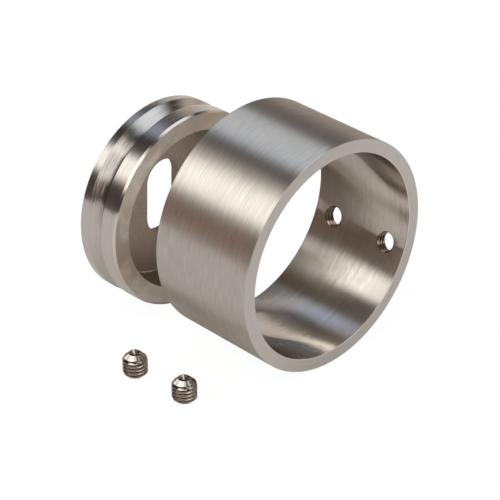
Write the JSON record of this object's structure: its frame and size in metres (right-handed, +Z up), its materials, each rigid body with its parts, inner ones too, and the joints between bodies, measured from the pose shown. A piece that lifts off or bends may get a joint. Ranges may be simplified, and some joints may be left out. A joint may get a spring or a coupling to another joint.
{
  "type": "flange adapter",
  "caption": "Handrail flange adapter laid out in pieces: a round steel sleeve with threaded holes in its side, a grooved cup base with a slot, and small grub screws.",
  "frame": {"origin": "middle of the sleeve, on its axis", "axes": "+X along the sleeve's axis out of the mouth that takes the tube, +Z up as the pieces lie"},
  "size_m": [0.0476, 0.0572, 0.0483],
  "materials": {
    "ground_steel": "stainless steel ground round its circumference, satin",
    "turned_steel": "stainless steel, finely turned outside, matte in the recess",
    "screw_steel": "stainless steel with a rolled thread, glossy"
  },
  "bodies": {
    "root": {"sleeve": "ground_steel", "base": "turned_steel", "grub_screw_rear": "screw_steel", "grub_screw_front": "screw_steel"}
  },
  "joints": []
}
